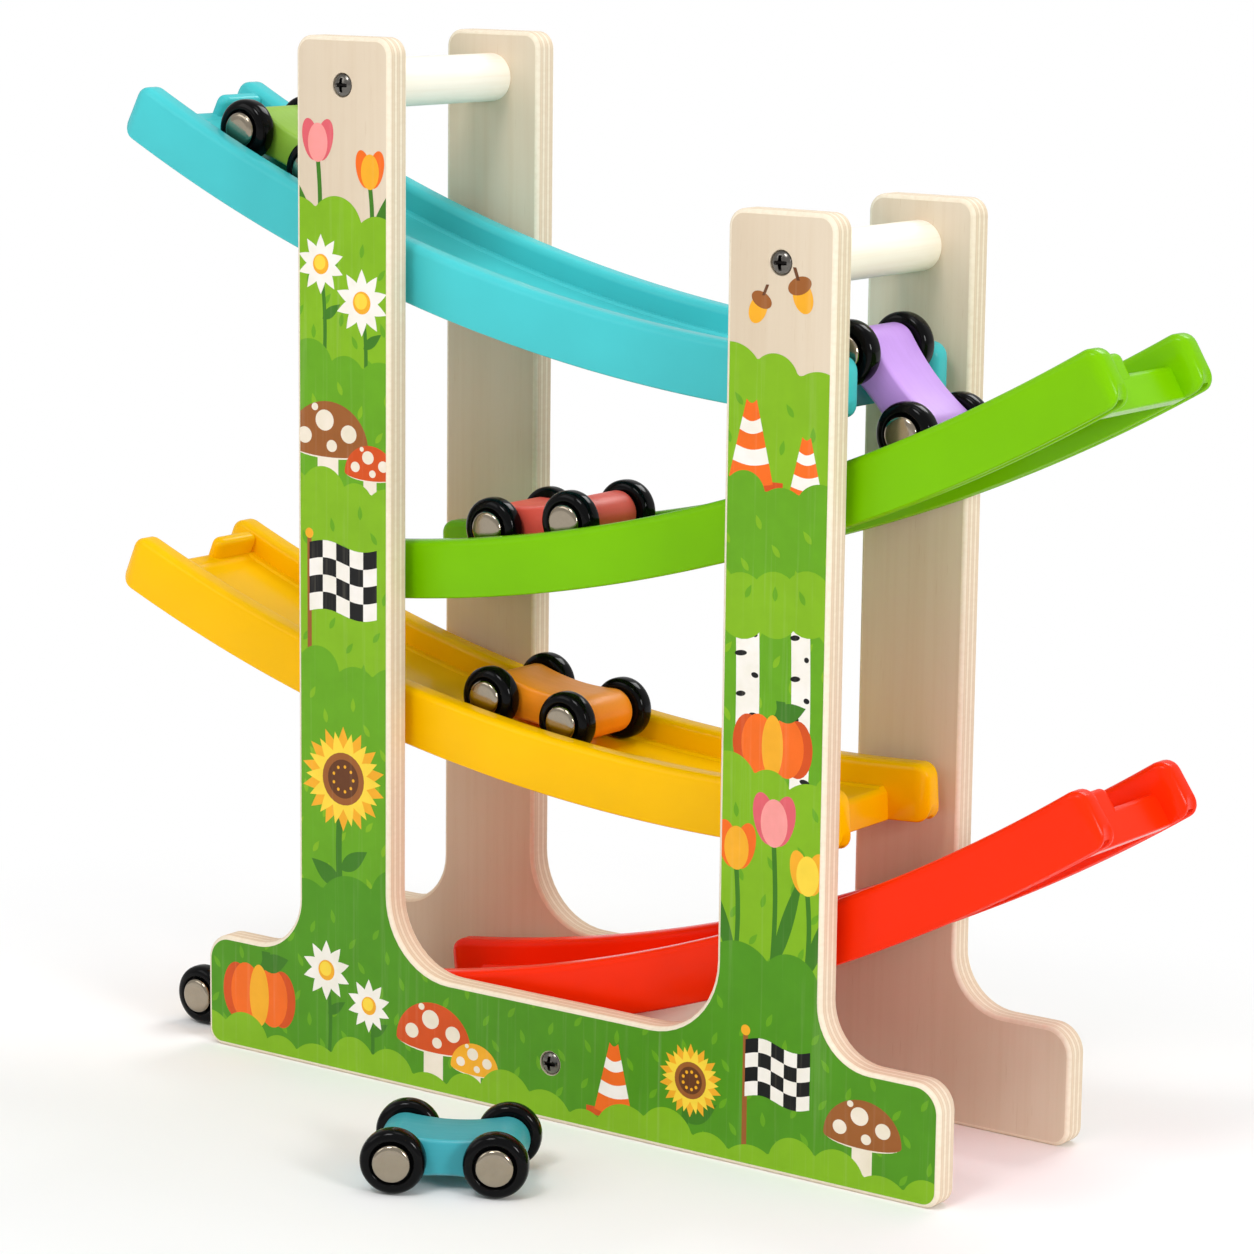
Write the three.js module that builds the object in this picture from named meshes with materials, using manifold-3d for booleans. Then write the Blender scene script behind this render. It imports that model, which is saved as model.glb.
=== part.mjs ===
// A toy racing track: two plywood panels carry four moulded ramps, and six small cars run down them.
// Millimetres, +Z up. X runs along the track and Y from the front panel to the rear one.
// The origin is under the middle of the front panel, on the table.
import * as THREE from 'three';
import { mergeVertices } from 'three/addons/utils/BufferGeometryUtils.js';
import Module from 'manifold-3d';

const wasm = await Module();
wasm.setup();

// Panels: one outline, cut twice
const panelThickness = 8;
const panelGap = 60;
const baseLength = 256;
const baseHeight = 34;
const postWidth = 34;
const leftFootLength = 35.5;
const rightFootLength = 38;
const rightPostHeight = 260;
const leftPostRise = 40;
const postTopRadius = 5;
const footTopRadius = 8;
const footBottomRadius = 5;
const footFilletRadius = 16;
const innerFilletRadius = 22;
const easedEdge = 0.8;

// Bars between the panels, and the screws in their ends
const dowelRadius = 7;
const dowelBelowTop = 13.5;
const screwHeadRadius = 3.2;
const screwHeadHeight = 2;
const screwSink = 1;
const screwShankRadius = 1.6;
const screwGrip = 16;
const screwTip = 3;
const recessLength = 3.8;
const recessWidth = 0.9;
const recessDepth = 1.1;

// Ramps: one moulding, used four times
const floorRadius = 546;
const rampOverhang = 114.5;
const rampWidth = 52.4;
const wallAboveFloor = 7.5;
const skirtBelowFloor = 9.2;
const wallWidth = 7.6;
const wallCornerRadius = 4.5;
const shell = 2;
const armLength = 13;
const hornLength = 7;
const endWallThickness = 4;
const endWallDrop = 0.9;
const endBlockWidth = 17;
const endLip = 0.6;
const mouldedEdge = 1;
const bossRadius = 4.5;
const pegRadius = 3;
const pegLength = 4;
const pegNear = 11.5;
const pegStep = 2;

// Cars: one model, six colours
const wheelBase = 27.6;
const wheelRadius = 8.9;
const wheelWidth = 6;
const tyreEdge = 1.6;
const bodyWidth = 20;
const bodyEndRadius = 6.3;
const bodyWaist = 10;
const bodyEdge = 0.8;
const axleRadius = 1.25;
const capRadius = 5.2;
const capHeight = 0.9;

// Clearances
const seatClearance = 0.3;
const turnClearance = 0.25;
const wheelSideGap = 0.5;
const rollGap = 0.3;
const tableGap = 0.25;

// How finely round shapes are divided
const rampSteps = 12;
const cornerSteps = 3;
const wheelSides = 12;
const axleSides = 10;
const holeSides = 8;
const dowelSides = 18;

// Places that follow from the sizes
const frontInner = panelThickness / 2;
const rearInner = frontInner + panelGap;
const middleY = frontInner + panelGap / 2;
const leftPostX = leftFootLength + (postWidth - baseLength) / 2;
const rightPostX = (baseLength - postWidth) / 2 - rightFootLength;
const leftPostHeight = rightPostHeight + leftPostRise;
const postSpacing = rightPostX - leftPostX;
const rampLength = postSpacing + rampOverhang;
const pegFar = pegNear + postSpacing + pegStep;
const rampHalf = rampWidth / 2;
const channelHalf = rampHalf - wallWidth;
const wallTopRadius = floorRadius - wallAboveFloor;
const skirtRadius = floorRadius + skirtBelowFloor;
const pegRingRadius = (wallTopRadius + skirtRadius) / 2;
const floorEndAngle = armLength / floorRadius;
const dowelPlaces = [
  { name: 'top', x: leftPostX, z: leftPostHeight - dowelBelowTop },
  { name: 'side', x: rightPostX, z: rightPostHeight - dowelBelowTop },
  { name: 'base', x: 0, z: baseHeight / 2 },
];

// Each ramp's low end: how far its arms reach past the middle of the post there, the height of the floor's
// line at that end, and its tilt in degrees. The ramp rises towards +X or -X.
const post = postWidth;
const tall = rightPostHeight;
const rampPlaces = [
  { name: 'cyan_ramp', color: 0x4ec8d2, rises: -1, reach: 0.382 * post, height: 0.823 * tall, tilt: 0.2 },
  { name: 'green_ramp', color: 0x78c000, rises: 1, reach: 0.294 * post, height: 0.5696 * tall, tilt: 3.3 },
  { name: 'yellow_ramp', color: 0xffc800, rises: -1, reach: 0.403 * post, height: 0.375 * tall, tilt: -4 },
  { name: 'red_ramp', color: 0xf53a14, rises: 1, reach: 0.156 * post, height: 0.594 * baseHeight, tilt: 6.6 },
];

// Each rolling car: its ramp, and how far up the ramp from the end of its arms, as a share of the length
const rollingCars = [
  { name: 'green_car', color: 0x86bd33, ramp: 0, share: 0.8175 },
  { name: 'red_car', color: 0xc4302b, ramp: 1, share: 0.232 },
  { name: 'orange_car', color: 0xf08a1e, ramp: 2, share: 0.439 },
];
// The car that tips off one ramp onto the next one below, its lower axle standing this far past the upper floor
const tippingCar = { name: 'purple_car', color: 0xbe93e4, from: 0, onto: 1, reach: 24.6 };
// Cars on the table: the middle's place and the way they face, in degrees
const tableCars = [
  { name: 'cyan_car', color: 0x4fb3be, x: 0.041 * baseLength, y: -frontInner - 57.5, heading: 30 },
  { name: 'yellow_car', color: 0xf2c12e, x: -baseLength / 2 - 1, y: frontInner + bodyWidth, heading: 180 },
];

const quarter = Math.PI / 2;
const track = new THREE.Group();

// Points of a round stretch, in standard angles, both ends included
function arc(x, y, radius, from, to, steps) {
  return Array.from({ length: steps + 1 }, (_, i) => {
    const angle = from + ((to - from) * i) / steps;
    return new THREE.Vector2(x + radius * Math.cos(angle), y + radius * Math.sin(angle));
  });
}

// A closed solid from a three.js geometry
function toSolid(geometry) {
  const bare = geometry.clone();
  bare.deleteAttribute('normal');
  bare.deleteAttribute('uv');
  const merged = mergeVertices(bare, 1e-4);
  return new wasm.Manifold(new wasm.Mesh({
    numProp: 3,
    vertProperties: new Float32Array(merged.attributes.position.array),
    triVerts: new Uint32Array(merged.index.array),
  }));
}

// A three.js geometry from a closed solid
function toGeometry(solid) {
  const mesh = solid.getMesh();
  const geometry = new THREE.BufferGeometry();
  geometry.setAttribute('position', new THREE.BufferAttribute(new Float32Array(mesh.vertProperties), 3));
  geometry.setIndex(new THREE.BufferAttribute(new Uint32Array(mesh.triVerts), 1));
  geometry.computeVertexNormals();
  return geometry;
}

// An outline in the XZ plane given thickness along Y, with its outer edges eased if asked
function slab(outline, yLow, yHigh, edge = 0) {
  const geometry = new THREE.ExtrudeGeometry(new THREE.Shape(outline), {
    depth: yHigh - yLow - 2 * edge,
    steps: 1,
    bevelEnabled: edge > 0,
    bevelThickness: edge,
    bevelSize: edge,
    bevelOffset: -edge,
    bevelSegments: 1,
  });
  geometry.rotateX(quarter);
  geometry.translate(0, yHigh - edge, 0);
  return toSolid(geometry);
}

// A round bar along Y
function bar(x, z, radius, yLow, yHigh, sides) {
  const geometry = new THREE.CylinderGeometry(radius, radius, yHigh - yLow, sides);
  geometry.translate(x, (yLow + yHigh) / 2, z);
  return toSolid(geometry);
}

// A profile of radius and place, turned round the Y axis
function turned(profile, sides) {
  const points = profile.map(([radius, y]) => new THREE.Vector2(radius, y));
  return toSolid(new THREE.LatheGeometry(points, sides));
}

function addNode(parent, name, solid, material) {
  const mesh = new THREE.Mesh(toGeometry(solid), material);
  mesh.name = name;
  parent.add(mesh);
  return mesh;
}

function finish(color, roughness, metalness = 0) {
  return new THREE.MeshStandardMaterial({ color, roughness, metalness });
}

const birch = finish(0xe6cfa8, 0.55);
const bright = finish(0xc8c6c0, 0.15, 1);
const tyreBlack = finish(0x0a0a0a, 0.12);

// A ramp's arc is centred above it. Angles are counted from straight down, uphill.
const ramps = rampPlaces.map((place) => {
  const tilt = THREE.MathUtils.degToRad(place.tilt);
  const lowX = place.rises > 0 ? leftPostX - place.reach : rightPostX + place.reach;
  const centreX = lowX - place.rises * floorRadius * Math.sin(tilt);
  const centreZ = place.height + floorRadius * Math.cos(tilt);
  return { ...place, tilt, centreX, centreZ };
});

// The point of a ramp at a distance along its floor from the arms' end, at a radius from the arc's centre
function onRamp(ramp, along, radius) {
  const angle = ramp.tilt + along / floorRadius;
  return {
    angle,
    x: ramp.centreX + ramp.rises * radius * Math.sin(angle),
    z: ramp.centreZ - radius * Math.cos(angle),
  };
}

// Panel outline: corners in order, each rounded to its own radius
function panelOutline() {
  const right = baseLength / 2;
  const half = postWidth / 2;
  const corners = [
    [-right, 0, footBottomRadius],
    [right, 0, footBottomRadius],
    [right, baseHeight, footTopRadius],
    [rightPostX + half, baseHeight, footFilletRadius],
    [rightPostX + half, rightPostHeight, postTopRadius],
    [rightPostX - half, rightPostHeight, postTopRadius],
    [rightPostX - half, baseHeight, innerFilletRadius],
    [leftPostX + half, baseHeight, innerFilletRadius],
    [leftPostX + half, leftPostHeight, postTopRadius],
    [leftPostX - half, leftPostHeight, postTopRadius],
    [leftPostX - half, baseHeight, footFilletRadius],
    [-right, baseHeight, footTopRadius],
  ];
  return corners.flatMap(([x, z, radius], i) => {
    const [beforeX, beforeZ] = corners.at(i - 1);
    const [afterX, afterZ] = corners[(i + 1) % corners.length];
    const arrive = new THREE.Vector2(x - beforeX, z - beforeZ).normalize();
    const leave = new THREE.Vector2(afterX - x, afterZ - z).normalize();
    const turn = Math.sign(arrive.cross(leave));
    const centreX = x + radius * (leave.x - arrive.x);
    const centreZ = z + radius * (leave.y - arrive.y);
    const from = Math.atan2(arrive.y, arrive.x) - turn * quarter;
    return arc(centreX, centreZ, radius, from, from + turn * quarter, radius > footTopRadius ? 5 : cornerSteps);
  });
}

// A panel with its screw holes, and on its inner face the blind holes for the ramps' pegs
function panel(innerY, outwards) {
  const outerY = innerY + outwards * panelThickness;
  const between = (a, b) => [Math.min(a, b), Math.max(a, b)];
  let solid = slab(panelOutline(), ...between(innerY, outerY), easedEdge);
  for (const { x, z } of dowelPlaces) {
    const hole = between(innerY - outwards, outerY + outwards);
    const sink = between(outerY - outwards * screwSink, outerY + outwards);
    solid = solid.subtract(bar(x, z, screwShankRadius + seatClearance, ...hole, holeSides));
    solid = solid.subtract(bar(x, z, screwHeadRadius + seatClearance, ...sink, wheelSides));
  }
  for (const ramp of ramps) {
    for (const along of [pegNear, pegFar]) {
      const { x, z } = onRamp(ramp, along, pegRingRadius);
      const depth = between(innerY - outwards, innerY + outwards * (pegLength + seatClearance));
      solid = solid.subtract(bar(x, z, pegRadius + seatClearance, ...depth, holeSides));
    }
  }
  return solid;
}

addNode(track, 'front_panel', panel(frontInner, -1), birch);
addNode(track, 'rear_panel', panel(rearInner, 1), birch);

// Bars, with a pilot hole in each end for the screws
function dowel(x, z) {
  const pilotRadius = screwShankRadius + seatClearance;
  const pilotDepth = screwGrip + seatClearance;
  return bar(x, z, dowelRadius, frontInner, rearInner, dowelSides)
    .subtract(bar(x, z, pilotRadius, frontInner - 1, frontInner + pilotDepth, holeSides))
    .subtract(bar(x, z, pilotRadius, rearInner - pilotDepth, rearInner + 1, holeSides));
}

// A pan-head screw pointing along +Y, its head's underside at the origin, with a cross recess
function screw() {
  const length = panelThickness - screwSink + screwGrip;
  const blank = turned([
    [0, -screwHeadHeight],
    [screwHeadRadius * 0.62, -screwHeadHeight * 0.9],
    [screwHeadRadius, -screwHeadHeight * 0.4],
    [screwHeadRadius, 0],
    [screwShankRadius, 0],
    [screwShankRadius, length - screwTip],
    [0, length],
  ], axleSides);
  const slot = (x, z) => toSolid(new THREE.BoxGeometry(x, 2 * recessDepth, z).translate(0, -screwHeadHeight, 0));
  return blank.subtract(slot(recessLength, recessWidth).add(slot(recessWidth, recessLength)));
}

for (const { name, x, z } of dowelPlaces) {
  addNode(track, `${name}_dowel`, dowel(x, z), birch);
  const front = addNode(track, `front_screw_${name}`, screw(), bright);
  front.position.set(x, frontInner - panelThickness + screwSink, z);
  const rear = addNode(track, `rear_screw_${name}`, screw(), bright);
  rear.position.set(x, rearInner + panelThickness - screwSink, z);
  rear.rotation.x = Math.PI;
}

// A stretch of the ramp's curve between two radii, as an outline with square ends
function band(low, high, topRadius, bottomRadius) {
  return [
    ...arc(0, 0, bottomRadius, low - quarter, high - quarter, rampSteps),
    ...arc(0, 0, topRadius, high - quarter, low - quarter, rampSteps),
  ];
}

// The same with rounded corners, so the big arcs stop where the corners begin
function roundedBand(low, high, topRadius, bottomRadius, corner) {
  const bottomTurn = Math.asin(corner / (bottomRadius - corner));
  const topTurn = Math.asin(corner / (topRadius + corner));
  const cornerArc = (radius, angle, from, to) => {
    const x = radius * Math.sin(angle);
    const z = -radius * Math.cos(angle);
    return arc(x, z, corner, from - quarter, to - quarter, cornerSteps);
  };
  const inner = (points) => points.slice(1, -1);
  const lowBottom = low + bottomTurn;
  const highBottom = high - bottomTurn;
  const lowTop = low + topTurn;
  const highTop = high - topTurn;
  return [
    ...inner(arc(0, 0, bottomRadius, lowBottom - quarter, highBottom - quarter, rampSteps)),
    ...cornerArc(bottomRadius - corner, highBottom, highBottom, high + quarter),
    ...cornerArc(topRadius + corner, highTop, high + quarter, highTop + 2 * quarter),
    ...inner(arc(0, 0, topRadius, highTop - quarter, lowTop - quarter, rampSteps)),
    ...cornerArc(topRadius + corner, lowTop, lowTop + 2 * quarter, low + 3 * quarter),
    ...cornerArc(bottomRadius - corner, lowBottom, low + 3 * quarter, lowBottom + 4 * quarter),
  ];
}

// The moulding about its arc's centre, rising towards +X from straight down: hollow side walls open below,
// a floor between them that stops short of the arms, a turned-down floor end, and an end wall that is low
// but for a block on one side
function rampMoulding() {
  const beyond = 10;
  const past = beyond / floorRadius;
  const span = rampLength / floorRadius;
  const wall = shell / floorRadius;
  const wallOut = span - hornLength / floorRadius;
  const wallIn = wallOut - endWallThickness / floorRadius;
  const above = wallTopRadius - beyond;
  const below = skirtRadius + beyond;
  const blockEdge = endBlockWidth - channelHalf;

  const sideView = roundedBand(0, span, wallTopRadius, skirtRadius, wallCornerRadius);
  let solid = slab(sideView, -rampHalf, rampHalf, mouldedEdge);
  const channel = slab(band(0, wallIn, above, floorRadius), -channelHalf, channelHalf);
  const carDrop = slab(band(-past, floorEndAngle, above, below), -channelHalf, channelHalf);
  const behindWall = slab(band(wallOut, span + past, above, below), -channelHalf, channelHalf);
  const overWall = slab(band(0, span, above, wallTopRadius + endWallDrop), -channelHalf, channelHalf);
  const besideBlock = slab(band(0, span, above, floorRadius - endLip), blockEdge, channelHalf);
  const underFloor = slab(band(floorEndAngle + wall, wallIn, floorRadius + shell, below), -channelHalf, channelHalf);
  for (const cut of [channel, carDrop, behindWall, overWall, besideBlock, underFloor]) {
    solid = solid.subtract(cut);
  }
  const hollow = roundedBand(wall, span - wall, wallTopRadius + shell, below, wallCornerRadius - shell);
  for (const side of [-1, 1]) {
    const from = side * (channelHalf + shell);
    const to = side * (rampHalf - shell);
    solid = solid.subtract(slab(hollow, Math.min(from, to), Math.max(from, to)));
    for (const along of [pegNear, pegFar]) {
      const x = pegRingRadius * Math.sin(along / floorRadius);
      const z = -pegRingRadius * Math.cos(along / floorRadius);
      const root = side * (rampHalf - shell / 2);
      const shoulder = side * (panelGap / 2 - seatClearance);
      const tip = side * (panelGap / 2 + pegLength);
      solid = solid.add(bar(x, z, bossRadius, Math.min(root, shoulder), Math.max(root, shoulder), holeSides));
      solid = solid.add(bar(x, z, pegRadius, Math.min(root, tip), Math.max(root, tip), holeSides));
    }
  }
  return solid;
}

// The same moulding is turned round for the ramps that rise towards -X
for (const ramp of ramps) {
  const node = addNode(track, ramp.name, rampMoulding(), finish(ramp.color, 0.2));
  node.position.set(ramp.centreX, middleY, ramp.centreZ);
  node.rotation.set(0, -ramp.rises * ramp.tilt, ramp.rises > 0 ? 0 : Math.PI);
}

// Side view of a car's body: round ends over the axles and hollowed edges between them
function bodyOutline() {
  const end = wheelBase / 2;
  const waist = bodyWaist / 2;
  const hollow = (end ** 2 + waist ** 2 - bodyEndRadius ** 2) / (2 * (bodyEndRadius - waist));
  const hollowZ = waist + hollow;
  const meet = Math.atan2(hollowZ, -end);
  const swing = Math.atan2(end, hollowZ);
  const inner = (points) => points.slice(1, -1);
  return [
    ...arc(end, 0, bodyEndRadius, -meet, meet, 6),
    ...inner(arc(0, hollowZ, hollow, -quarter + swing, -quarter - swing, cornerSteps)),
    ...arc(-end, 0, bodyEndRadius, Math.PI - meet, Math.PI + meet, 6),
    ...inner(arc(0, -hollowZ, hollow, quarter + swing, quarter - swing, cornerSteps)),
  ];
}

function carBody() {
  const half = bodyWidth / 2;
  const bore = (x) => bar(x, 0, axleRadius + turnClearance, -half - 1, half + 1, axleSides);
  return slab(bodyOutline(), -half, half, bodyEdge)
    .subtract(bore(wheelBase / 2))
    .subtract(bore(-wheelBase / 2));
}

// A wheel with rounded tyre edges, its inner face at the origin and its outer face towards +Y
function wheel() {
  const bore = axleRadius + turnClearance;
  return turned([
    [bore, 0],
    [wheelRadius - tyreEdge, 0],
    [wheelRadius, tyreEdge],
    [wheelRadius, wheelWidth - tyreEdge],
    [wheelRadius - tyreEdge, wheelWidth],
    [bore, wheelWidth],
    [bore, 0],
  ], wheelSides);
}

// An axle with a domed cap over each wheel
const wheelInner = bodyWidth / 2 + wheelSideGap;
function axle() {
  const seat = wheelInner + wheelWidth + turnClearance;
  const tip = seat + capHeight;
  return turned([
    [0, -tip],
    [capRadius * 0.72, -tip + capHeight * 0.3],
    [capRadius, -seat],
    [axleRadius, -seat],
    [axleRadius, seat],
    [capRadius, seat],
    [capRadius * 0.72, tip - capHeight * 0.3],
    [0, tip],
  ], axleSides);
}

// A car faces its own +X, with its left side towards +Y
function addCar(name, color) {
  const car = new THREE.Group();
  addNode(car, `${name}_body`, carBody(), finish(color, 0.35));
  for (const [end, x] of [['front', wheelBase / 2], ['rear', -wheelBase / 2]]) {
    addNode(car, `${name}_${end}_axle`, axle(), bright).position.x = x;
    const left = addNode(car, `${name}_${end}_left_wheel`, wheel(), tyreBlack);
    left.position.set(x, wheelInner, 0);
    const right = addNode(car, `${name}_${end}_right_wheel`, wheel(), tyreBlack);
    right.position.set(x, -wheelInner, 0);
    right.rotation.x = Math.PI;
  }
  track.add(car);
  return car;
}

// Rolling cars stand on their ramp's floor, so both axles lie on one arc about its centre
const axleRing = floorRadius - wheelRadius - rollGap;
for (const { name, color, ramp: index, share } of rollingCars) {
  const ramp = ramps[index];
  const along = share * rampLength;
  const chordRadius = Math.sqrt(axleRing ** 2 - (wheelBase / 2) ** 2);
  const { angle, x, z } = onRamp(ramp, along, chordRadius);
  const car = addCar(name, color);
  car.position.set(x, middleY, z);
  car.rotation.set(0, -ramp.rises * angle, ramp.rises > 0 ? Math.PI : 0);
}

// The tipping car's lower axle is on the lower ramp, and its upper wheels lean on the upper floor's end
{
  const from = ramps[tippingCar.from];
  const onto = ramps[tippingCar.onto];
  const lip = onRamp(from, armLength, floorRadius);
  const lowerX = lip.x + onto.rises * tippingCar.reach;
  const lowerAngle = Math.asin((onto.rises * (lowerX - onto.centreX)) / axleRing);
  const lower = onRamp(onto, (lowerAngle - onto.tilt) * floorRadius, axleRing);
  const lean = wheelRadius + rollGap;
  const apart = Math.hypot(lip.x - lower.x, lip.z - lower.z);
  const cosine = (wheelBase ** 2 + apart ** 2 - lean ** 2) / (2 * wheelBase * apart);
  const rise = Math.atan2(lip.z - lower.z, lip.x - lower.x) + from.rises * Math.acos(Math.min(1, cosine));
  const car = addCar(tippingCar.name, tippingCar.color);
  const half = wheelBase / 2;
  car.position.set(lower.x + half * Math.cos(rise), middleY, lower.z + half * Math.sin(rise));
  car.rotation.y = Math.PI - rise;
}

// Table cars stand on their wheels
for (const { name, color, x, y, heading } of tableCars) {
  const car = addCar(name, color);
  car.position.set(x, y, wheelRadius + tableGap);
  car.rotation.z = THREE.MathUtils.degToRad(heading);
}

export default track;
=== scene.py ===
"""Looks of a toy ramp racer: plywood panels, moulded ramps, bars, screws and six small wooden cars."""
import math

import bmesh
import bpy
import numpy as np
from mathutils import Matrix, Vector
from mathutils.geometry import delaunay_2d_cdt


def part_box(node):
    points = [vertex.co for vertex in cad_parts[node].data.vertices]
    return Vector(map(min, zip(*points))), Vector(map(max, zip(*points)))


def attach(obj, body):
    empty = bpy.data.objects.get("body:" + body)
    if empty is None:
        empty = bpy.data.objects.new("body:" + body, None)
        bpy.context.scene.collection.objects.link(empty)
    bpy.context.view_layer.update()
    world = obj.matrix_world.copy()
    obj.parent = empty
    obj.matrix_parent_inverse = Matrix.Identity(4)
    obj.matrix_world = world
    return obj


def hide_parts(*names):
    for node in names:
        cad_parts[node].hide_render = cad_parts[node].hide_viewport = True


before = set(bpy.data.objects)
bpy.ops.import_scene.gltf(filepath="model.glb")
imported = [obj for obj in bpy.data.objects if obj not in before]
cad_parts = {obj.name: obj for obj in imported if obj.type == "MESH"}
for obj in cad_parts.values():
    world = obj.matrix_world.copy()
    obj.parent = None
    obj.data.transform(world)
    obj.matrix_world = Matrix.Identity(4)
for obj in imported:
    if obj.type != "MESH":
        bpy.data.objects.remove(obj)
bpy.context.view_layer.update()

# Plywood panels
# Two boards of 8 mm birch plywood, cut to one outline on a router, with eased edges. The screws go in from
# outside through sunk holes, and blind holes inside take the pegs of the ramps.
panel_corners = [
    (-128, 0, 5), (128, 0, 5), (128, 34, 8), (90, 34, 16), (90, 260, 5), (56, 260, 5),
    (56, 34, 22), (-58.5, 34, 22), (-58.5, 300, 5), (-92.5, 300, 5), (-92.5, 34, 16), (-128, 34, 8),
]
panel_corner_steps = 13
panel_thickness = 8.0
panel_outer_faces = {"front_panel": -4.0, "rear_panel": 72.0}
panel_eased_edge = 1.2
eased_edge_steps = 5
screw_places = np.array([(-75.5, 286.5), (73, 246.5), (0, 17)])
screw_sink = 1.0
screw_sink_radius = 3.5
screw_hole_radius = 1.9
hole_sides = 24


def linear(red, green, blue):
    """A colour written in 0 to 255 screen values, as the light values that shaders take."""
    share = np.array([red, green, blue]) / 255
    return tuple(np.where(share < 0.04045, share / 12.92, ((share + 0.055) / 1.055) ** 2.4)) + (1.0,)


def rounded_outline(corners, steps):
    """Points and outward normals of a closed outline whose square corners are cut by quarter circles.
    Each circle's centre lies one radius inside both edges, and the point swings from one edge to the next."""
    corners = np.asarray(corners, float)
    arrive = corners[:, :2] - np.roll(corners[:, :2], 1, 0)
    arrive /= np.linalg.norm(arrive, axis=1, keepdims=True)
    leave = np.roll(arrive, -1, 0)
    centre = corners[:, :2] + corners[:, 2:] * (leave - arrive)
    swing = np.linspace(0, math.pi / 2, steps)[None, :, None]
    arrive, leave = arrive[:, None], leave[:, None]
    points = centre[:, None] + corners[:, None, 2:] * (arrive * np.sin(swing) - leave * np.cos(swing))
    tangent = arrive * np.cos(swing) + leave * np.sin(swing)
    normals = np.stack([tangent[..., 1], -tangent[..., 0]], -1)
    return points.reshape(-1, 2), normals.reshape(-1, 2)


def grid_faces(rows, columns, closed):
    """The four-sided faces of points stored row by row; closed joins each row's last point to its first."""
    row = np.arange(rows - 1)[:, None] * columns
    column = np.arange(columns if closed else columns - 1)[None, :]
    after = (column + 1) % columns
    corners = [row + column, row + after, row + columns + after, row + columns + column]
    return np.stack(corners, -1).reshape(-1, 4)


def circle(centre, radius, sides):
    """Points of a circle in a plane, by equal angles."""
    turn = np.linspace(0, 2 * math.pi, sides, endpoint=False)
    return np.asarray(centre) + radius * np.stack([np.cos(turn), np.sin(turn)], -1)


def triangulate(loops, near):
    """A constrained triangulation of loops laid over each other: its points, its triangles, and for each
    triangle the numbers of the loops that it lies in. Points as near as that become one."""
    starts = np.cumsum([0] + [len(loop) for loop in loops])
    rings = [list(range(start, end)) for start, end in zip(starts[:-1], starts[1:])]
    made = delaunay_2d_cdt(np.concatenate(loops).tolist(), [], rings, 1, near)
    return np.array([tuple(point) for point in made[0]]), made[2], made[5]


def flat_face(outline, holes):
    """Triangles that fill an outline but for its holes: those that lie in the outline alone."""
    points, faces, within = triangulate([outline, *holes], 1e-6)
    return points, [face for face, loops in zip(faces, within) if loops == [0]]


def board(outline, normals, low, high, edge, holes):
    """Shells of a board: its outline carried through the thickness and drawn in by a quarter circle at each
    face, the two faces, and the holes as turned steps. Each hole is a centre with its steps, a radius and a
    depth each."""
    swing = np.linspace(0, math.pi / 2, eased_edge_steps)
    inset = edge * (1 - np.sin(swing))
    depth = edge * (1 - np.cos(swing))
    inset = np.concatenate([inset, inset[::-1]])
    level = np.concatenate([low + depth, high - depth[::-1]])
    loops = outline[None] - inset[:, None, None] * normals[None]
    rim = np.stack([loops[..., 0], np.broadcast_to(level[:, None], loops.shape[:2]), loops[..., 1]], -1)
    shells = [(rim.reshape(-1, 3), grid_faces(len(level), len(outline), True), 1)]
    pierced = {low: [], high: []}
    for centre, steps in holes:
        rings = np.stack([np.insert(circle(centre, radius, hole_sides), 1, y, 1) for radius, y in steps])
        faces = grid_faces(len(steps), hole_sides, True).tolist()
        for end in (0, -1):
            if steps[end][1] in pierced:
                pierced[steps[end][1]].append(circle(centre, steps[end][0], hole_sides))
            else:
                faces.append([end % len(steps) * hole_sides + i for i in range(hole_sides)])
        shells.append((rings.reshape(-1, 3), faces, 1))
    for y, loops_there in pierced.items():
        points, faces = flat_face(outline - edge * normals, loops_there)
        shells.append((np.insert(points, 1, y, 1), faces, 0))
    return shells


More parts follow.
